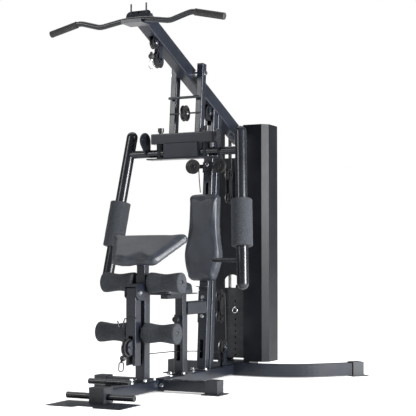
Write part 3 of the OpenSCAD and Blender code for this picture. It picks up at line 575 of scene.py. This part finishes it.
def make_pad(name, node, body, outline, thick, place, edge):
    """Block, remesh, swell, smooth, and put the pad in its place."""
    bm = foam_block(outline, thick - PAD_SWELL * 0.7, edge)
    piece = add_piece(name, bm, PAD_VINYL, body, sharp=180.0)
    even_mesh(piece, VOXEL)
    swell(piece, held_below=3 * MM, reach=PAD_SWELL)
    bm = bmesh.new()
    bm.from_mesh(piece.data)
    crown = [v for v in bm.verts if v.co.z > 4 * MM]
    for _ in range(7):
        bmesh.ops.smooth_vert(bm, verts=crown, factor=0.5, use_axis_x=True,
                              use_axis_y=True, use_axis_z=True)
    bm.to_mesh(piece.data)
    bm.free()
    piece.data.polygons.foreach_set("use_smooth", [True] * len(piece.data.polygons))
    tree = BVHTree.FromPolygons([v.co for v in piece.data.vertices],
                                [p.vertices[:] for p in piece.data.polygons])
    piece.data.transform(place)
    piece.data.materials.clear()
    piece.data.materials.append(PAD_VINYL)
    finer = piece.modifiers.new("finer", "SUBSURF")
    finer.levels = finer.render_levels = 1
    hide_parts(node)
    print(name, len(piece.data.polygons), "faces")
    return tree


# %% Sewn welt around a pad


def make_welt(name, body, tree, outline, height, place, radius=1.6 * MM):
    """Thin rolled seam on the pad's flank, laid on the swollen surface."""
    middle_y = sum(y for _, y in outline) / len(outline)
    centre = Vector((0.0, middle_y, height))
    path = []
    for x, y in outline:
        outside = centre + (Vector((x, y, height)) - centre) * 1.5
        way = (centre - outside).normalized()
        hit = tree.ray_cast(outside, way)[0]
        if hit is not None:
            path.append(hit)
    bm = bmesh.new()
    sweep(bm, path, radius, sides=8, closed=True)
    bmesh.ops.transform(bm, matrix=place, verts=bm.verts)
    return add_piece(name, bm, PAD_VINYL, body, sharp=180.0)


# %% [markdown]
# ### Arm-curl pad
# The curl pad is wide at its top, where the elbows rest, and narrows towards the
# machine's front, where its edge runs in a double wave around the forearms.

# %% Arm-curl pad
CURL_TILT = math.radians(35)
CURL_TOP_HALF = 0.236
CURL_LOW_HALF = 0.144
CURL_WAVE = 0.009
CURL_END_ROUND = 0.016
CURL_CORNER = 0.024


def corner_arc(centre, radius, start, end, steps=6):
    """Points of a rounded corner, angles in degrees."""
    turns = [math.radians(start + (end - start) * k / steps) for k in range(steps + 1)]
    return [(centre[0] + radius * math.cos(a), centre[1] + radius * math.sin(a))
            for a in turns]


def curl_outline(length, inset):
    """Wavy low edge, slanted sides and rounded top corners."""
    points = []
    low, top = CURL_LOW_HALF - inset, CURL_TOP_HALF - inset
    for k in range(33):
        u = k / 32
        across = 2 * u - 1
        wave = CURL_WAVE * math.cos(3 * math.pi * u) * (1 - across ** 4)
        round_off = CURL_END_ROUND * across ** 12
        points.append((across * low, inset + CURL_WAVE + wave + round_off))
    rear = length - inset - CURL_CORNER
    points += corner_arc((top - CURL_CORNER, rear), CURL_CORNER, -20, 90)
    points += corner_arc((-top + CURL_CORNER, rear), CURL_CORNER, 90, 200)
    return points


curl_length, curl_thick, curl_place = slab("curl_pad", CURL_TILT)
curl_points = curl_outline(curl_length, PAD_SWELL * 0.7)
curl_tree = make_pad("curl_cushion", "curl_pad", "curl_support", curl_points, curl_thick,
                     curl_place, 14 * MM)
make_welt("curl_welt", "curl_support", curl_tree, curl_points, 7 * MM, curl_place)

# %% [markdown]
# ### Back pad
# The back pad is narrow between the shoulder blades, widens towards the waist in a
# soft curve, and draws in again at its foot. Its front edge is a full round.

# %% Back pad
BACK_TILT = math.radians(85.5)
BACK_NARROW = 0.099
BACK_WAIST = 0.026
BACK_FOOT = 0.024
BACK_SPREAD = 0.005
BACK_CORNER = 0.030


def back_half_width(u):
    """Half width at a share u of the height."""
    waist = BACK_WAIST * math.exp(-((u - 0.30) / 0.20) ** 2)
    foot = BACK_FOOT * max(0.0, (0.16 - u) / 0.16) ** 2
    return BACK_NARROW + waist + BACK_SPREAD * u - foot


def back_outline(length, inset):
    corner = BACK_CORNER
    sides = [k / 28 for k in range(2, 27)]
    right = [(back_half_width(u) - inset, u * length) for u in sides]
    foot_half = right[0][0]
    top_half = right[-1][0]
    foot = corner_arc((foot_half - corner, inset + corner), corner, 270, 350, 5)
    top = corner_arc((top_half - corner, length - inset - corner), corner, 10, 90, 5)
    half = foot + right + top
    return half + [(-x, y) for x, y in reversed(half)]


back_length, back_thick, back_place = slab("back_pad", BACK_TILT)
back_points = back_outline(back_length, PAD_SWELL * 0.7)
back_tree = make_pad("back_cushion", "back_pad", "frame", back_points, back_thick,
                     back_place, 16 * MM)
make_welt("back_welt", "frame", back_tree, back_points, 8 * MM, back_place)

# %% [markdown]
# ### Seat pad
# The seat pad is broad in front and rounded at the rear, where it meets the back.

# %% Seat pad
SEAT_REAR_ROUND = 0.112
SEAT_CORNER = 0.026


def seat_outline(length, half, inset):
    """Half round at the rear, soft corners in front."""
    radius = SEAT_REAR_ROUND - inset
    rear = corner_arc((0.0, length - SEAT_REAR_ROUND), radius, 0, 180, 16)
    corner = SEAT_CORNER
    low = corner_arc((-half + inset + corner, inset + corner), corner, 180, 270, 5)
    low += corner_arc((half - inset - corner, inset + corner), corner, 270, 360, 5)
    return rear + low


seat_length, seat_thick, seat_place = slab("seat_pad", 0.0)
seat_half = (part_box("seat_pad")[1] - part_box("seat_pad")[0]).x / 2
seat_points = seat_outline(seat_length, seat_half, PAD_SWELL * 0.7)
seat_tree = make_pad("seat_cushion", "seat_pad", "seat", seat_points, seat_thick,
                     seat_place, 14 * MM)
make_welt("seat_welt", "seat", seat_tree, seat_points, 8 * MM, seat_place)

# %% [markdown]
# ## Foam rollers
# Each leg roller is one foam moulding with a waist, turned about its axle. Its rims
# are soft, and its flat end shows a plastic bush with the dark bore of the axle.

# %% Waisted rollers
ROLLER_RIM = 6 * MM
AXLE_RADIUS = 12.6 * MM
ROLLER_STEPS = 64


def roller_profile(length, rim, waist):
    """(radius, height) points from the bore, over the waist, back to the bore."""
    points = [(AXLE_RADIUS, 0.0), (rim - ROLLER_RIM, 0.0)]
    for k in range(1, 4):
        a = math.radians(30 * k)
        points.append((rim - ROLLER_RIM + ROLLER_RIM * math.sin(a),
                       ROLLER_RIM * (1 - math.cos(a))))
    for k in range(1, 24):
        u = k / 24
        radius = waist + (rim - waist) * math.cos(math.pi * u) ** 2
        points.append((radius, ROLLER_RIM + (length - 2 * ROLLER_RIM) * u))
    mirrored = [(radius, length - height) for radius, height in reversed(points[:5])]
    return points + mirrored + [(AXLE_RADIUS, 0.0)]


def make_rollers(name, node, body, inner, waist):
    """The foam pair on one axle."""
    low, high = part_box(node)
    rim = (high.z - low.z) / 2
    length = high.x - inner
    bm = bmesh.new()
    for side in (1, -1):
        turn = Matrix.Rotation(side * math.pi / 2, 4, "Y")
        start = Vector((side * inner, middle(node).y, middle(node).z))
        lathe(bm, roller_profile(length, rim, waist), ROLLER_STEPS,
              Matrix.Translation(start) @ turn)
    piece = add_piece(name, bm, FOAM, body, sharp=50.0)
    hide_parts(node)
    print(name, "length", round(length, 3), "rim", round(rim, 3))


ROLLER_INNER = 46 * MM
ROLLER_WAIST = 46 * MM
make_rollers("upper_roller_foam", "upper_rollers", "upper_roller_pair", ROLLER_INNER,
             ROLLER_WAIST)
make_rollers("lower_roller_foam", "lower_rollers", "lower_roller_pair", ROLLER_INNER,
             ROLLER_WAIST)

# %% Plastic bushes in the roller ends


def make_bushes(name, node, body):
    """Thin flanged rings in the outer faces; the axle's dark bore shows inside."""
    low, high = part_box(node)
    ring = [(4 * MM, -6 * MM), (4 * MM, 1.6 * MM), (14 * MM, 1.6 * MM), (15 * MM, 0.8 * MM),
            (15 * MM, -6 * MM), (4 * MM, -6 * MM)]
    bm = bmesh.new()
    for side, x in ((1, high.x), (-1, low.x)):
        turn = Matrix.Rotation(side * math.pi / 2, 4, "Y")
        lathe(bm, ring, 32, Matrix.Translation((x, middle(node).y, middle(node).z)) @ turn)
    add_piece(name, bm, BLACK_PLASTIC, body)


make_bushes("upper_roller_bushes", "upper_rollers", "upper_roller_pair")
make_bushes("lower_roller_bushes", "lower_rollers", "lower_roller_pair")

# %% [markdown]
# ## Arm foam
# The press arms wear straight foam sleeves. A sleeve is a thick-walled tube with
# soft rims, turned upright and then laid along the arm's own slant, about the
# middle of the sleeve's CAD box.

# %% Arm sleeves
SLEEVE_RADIUS = 60 * MM
SLEEVE_BORE = 33.5 * MM
SLEEVE_LENGTH = 268 * MM
SLEEVE_RIM = 7 * MM
SLEEVE_WAVE = 0.8 * MM
ARM_SLANT = Vector((0.081, -0.151, -0.860)).normalized()


def sleeve_profile():
    """(radius, height) points from the bore round the foam and back."""
    rim = SLEEVE_RIM
    points = [(SLEEVE_BORE, 0.0), (SLEEVE_RADIUS - rim, 0.0)]
    for k in range(1, 4):
        a = math.radians(30 * k)
        points.append((SLEEVE_RADIUS - rim + rim * math.sin(a), rim * (1 - math.cos(a))))
    for k in range(1, 12):
        u = k / 12
        dip = SLEEVE_WAVE * math.sin(3 * math.pi * u) ** 2
        points.append((SLEEVE_RADIUS - dip, rim + (SLEEVE_LENGTH - 2 * rim) * u))
    mirrored = [(radius, SLEEVE_LENGTH - height) for radius, height in reversed(points[:5])]
    return points + mirrored + [(SLEEVE_BORE, 0.0)]


def make_sleeve(name, node, body, side):
    slant = Vector((side * ARM_SLANT.x, ARM_SLANT.y, ARM_SLANT.z))
    turn = Vector((0, 0, 1)).rotation_difference(slant)
    start = middle(node) - slant * SLEEVE_LENGTH / 2
    bm = bmesh.new()
    lathe(bm, sleeve_profile(), 64, Matrix.Translation(start) @ turn.to_matrix().to_4x4())
    piece = add_piece(name, bm, FOAM, body, sharp=50.0)
    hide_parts(node)
    print(name, "centred at", tuple(round(v, 3) for v in middle(node)))


make_sleeve("right_arm_sleeve", "arm_foam_right", "right_arm", 1)
make_sleeve("left_arm_sleeve", "arm_foam_left", "left_arm", -1)

# %% [markdown]
# ## Pull-down bar
# The bar is one bent round tube with rubber grips. Sweeping a ring along a path
# whose corners are softened gives true bends, and the grips are turned on the lathe.

# %% Bar and grips
BAR_RADIUS = 15 * MM
BAR_BEND = 30 * MM
BAR_POINTS = [(0, 2012), (70, 2011), (140, 2000), (203, 1990), (225, 1991), (300, 2012),
              (330, 2020), (352, 2022), (420, 2006), (534, 1979.5)]
GRIP_RADIUS = 19 * MM
GRIP_COLLAR = 8 * MM
GRIP_RIBS = 22


def bar_point(side, across, height):
    return Vector((side * across * MM, middle("lat_bar").y, height * MM))


def make_bar():
    left = [bar_point(-1, x, z) for x, z in reversed(BAR_POINTS[1:])]
    right = [bar_point(1, x, z) for x, z in BAR_POINTS]
    bm = bmesh.new()
    sweep(bm, soften(left + right, BAR_BEND, 5), BAR_RADIUS, sides=24)
    piece = add_piece("bar_tube", bm, BAR_PAINT, "pull_down_bar")
    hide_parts("lat_bar")


def grip_profile(length):
    """Grip with fine ribs, a collar at its inner end and a domed outer end."""
    points = [(BAR_RADIUS, 0.0), (GRIP_RADIUS, 0.0), (GRIP_RADIUS, GRIP_COLLAR)]
    for k in range(GRIP_RIBS):
        base = GRIP_COLLAR + (length - 20 * MM) * k / GRIP_RIBS
        pitch = (length - 20 * MM) / GRIP_RIBS
        points += [(GRIP_RADIUS - 1.0 * MM, base + 0.2 * pitch),
                   (GRIP_RADIUS - 1.0 * MM, base + 0.5 * pitch),
                   (GRIP_RADIUS - 0.2 * MM, base + 0.7 * pitch),
                   (GRIP_RADIUS - 0.2 * MM, base + pitch)]
    return points + [(GRIP_RADIUS, length - 8 * MM), (GRIP_RADIUS - 1 * MM, length - 2 * MM),
                     (GRIP_RADIUS - 4 * MM, length), (0.0, length)]


def make_grips():
    bm = bmesh.new()
    for side in (1, -1):
        start = bar_point(side, 366, 2018.7)
        way = bar_point(side, 538, 1978.6) - start
        turn = Vector((0, 0, 1)).rotation_difference(way)
        lathe(bm, grip_profile(way.length), 40,
              Matrix.Translation(start) @ turn.to_matrix().to_4x4())
    add_piece("bar_grips", bm, GRIP_RUBBER, "pull_down_bar", sharp=30.0)


make_bar()
make_grips()
print("bar", round((bar_point(1, 534, 1980) - bar_point(-1, 534, 1980)).length, 3), "m wide")

# %% [markdown]
# ## Cable ends
# A pull is taken up by a rubber ball, and a plated snap hook hangs from it. The ball
# is a turned profile with a neck for the cable. The hook is a rod swept round a long
# loop, with a swivel barrel above it, and a thin gate across its open side.

# %% Ball and snap hook
BALL_RADIUS = 17 * MM
BALL_BELOW_TOP = 26 * MM + BALL_RADIUS
HOOK_BELOW_BALL = 25 * MM
HOOK_TURN = math.radians(35)
HOOK_ROD = 3.2 * MM
HOOK_GATE = 2 * MM
HOOK_LENGTH = 46 * MM
HOOK_HALF = 12 * MM


def ball_profile(radius):
    """Ball with a collar on top, where the cable goes in."""
    points = [(0.0, -radius)]
    for k in range(1, 16):
        a = math.radians(-90 + 160 * k / 16)
        points.append((radius * math.cos(a), radius * math.sin(a)))
    return points + [(8 * MM, radius * 0.98), (8 * MM, radius + 5 * MM),
                     (4 * MM, radius + 8 * MM), (0.0, radius + 8 * MM)]


def loop_path(length, half):
    """Long loop in XZ that hangs from the origin."""
    path = []
    for k in range(28):
        a = 2 * math.pi * k / 28
        wide = half * (1.0 - 0.25 * math.cos(a))
        path.append(Vector((wide * math.sin(a), 0.0, -length / 2 + length / 2 * math.cos(a))))
    return path


def make_cable_end(name, body, ball_at, radius, hang):
    """Ball piece, and the plated hook that `hang` places and this returns."""
    bm = bmesh.new()
    lathe(bm, ball_profile(radius), 40, Matrix.Translation(ball_at))
    add_piece(name + "_ball", bm, GRIP_RUBBER, body)
    bm = bmesh.new()
    sweep(bm, loop_path(HOOK_LENGTH, HOOK_HALF), HOOK_ROD, sides=12, closed=True)
    sweep(bm, [Vector((11 * MM, 0, -12 * MM)), Vector((13.5 * MM, 0, -34 * MM))],
          HOOK_GATE, sides=10)
    lathe(bm, [(0.0, -1 * MM), (6 * MM, -1 * MM), (7 * MM, 3 * MM), (7 * MM, 9 * MM),
               (5 * MM, 12 * MM), (0.0, 12 * MM)], 24)
    bmesh.ops.transform(bm, matrix=hang, verts=bm.verts)
    hook = add_piece(name + "_hook", bm, PLATING, body)
    print(name, "ball at", tuple(round(v, 3) for v in ball_at))
    return hook


high_end = middle("high_stopper")
high_ball = Vector((high_end.x, high_end.y,
                    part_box("high_stopper")[1].z - BALL_BELOW_TOP))
high_hang = (Matrix.Translation(high_ball + Vector((0, 0, -HOOK_BELOW_BALL)))
             @ Matrix.Rotation(HOOK_TURN, 4, "Z"))
high_hook = make_cable_end("high_end", "high_cable_end", high_ball, BALL_RADIUS,
                           high_hang)
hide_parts("high_stopper")

# %% [markdown]
# ## Pulley bolts
# Each pulley turns on a plated bolt whose head shows in its middle. The head is a
# six-sided cylinder with a chamfered crown on a washer.

# %% Bolt heads
HEAD_RADIUS = 8.5 * MM
HEAD_HEIGHT = 6 * MM
WASHER_RADIUS = 11 * MM
WASHER_HEIGHT = 1.6 * MM
HEADS_OUT = 5.5 * MM


def add_bolt_head(bm, place):
    """Washer and hexagon head that stand along +Z of place."""
    lathe(bm, [(0.0, 0.0), (WASHER_RADIUS, 0.0), (WASHER_RADIUS, WASHER_HEIGHT),
               (0.0, WASHER_HEIGHT)], 24, place)
    lift = place @ Matrix.Translation((0, 0, WASHER_HEIGHT))
    base = bmesh.ops.create_circle(bm, cap_ends=True, segments=6, radius=HEAD_RADIUS,
                                   matrix=lift)["verts"]
    face = next(f for f in base[0].link_faces if len(f.verts) == 6)
    grown = bmesh.ops.extrude_face_region(bm, geom=[face])["geom"]
    top = [g for g in grown if isinstance(g, bmesh.types.BMVert)]
    axis = (lift.to_3x3() @ Vector((0, 0, 1))).normalized()
    bmesh.ops.translate(bm, verts=top, vec=axis * HEAD_HEIGHT)
    rim = [e for e in bm.edges if e.verts[0] in top and e.verts[1] in top]
    bmesh.ops.bevel(bm, geom=rim, offset=1.2 * MM, offset_type="OFFSET", segments=2,
                    profile=0.5, affect="EDGES", material=-1)


def across_x(node, out):
    """Places just outside both faces of a pulley that spins about X."""
    low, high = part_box(node)
    centre = middle(node)
    for side, x in ((1, high.x + out), (-1, low.x - out)):
        yield (Matrix.Translation((x, centre.y, centre.z))
               @ Matrix.Rotation(side * math.pi / 2, 4, "Y"))


def make_pulley_bolts(name, body, nodes, out):
    bm = bmesh.new()
    for node in nodes:
        for place in across_x(node, out):
            add_bolt_head(bm, place)
    add_piece(name, bm, PLATING, body, sharp=25.0)
    print(name, len(nodes) * 2, "heads")


make_pulley_bolts("low_pulley_heads", "leg_developer", ["low_pulley"], HEADS_OUT)
make_pulley_bolts("press_pulley_heads", "press_swing", ["press_pulley"], HEADS_OUT)
make_pulley_bolts("frame_pulley_heads", "frame",
                  ["front_pulley", "top_pulley", "rear_low_pulley"], HEADS_OUT)
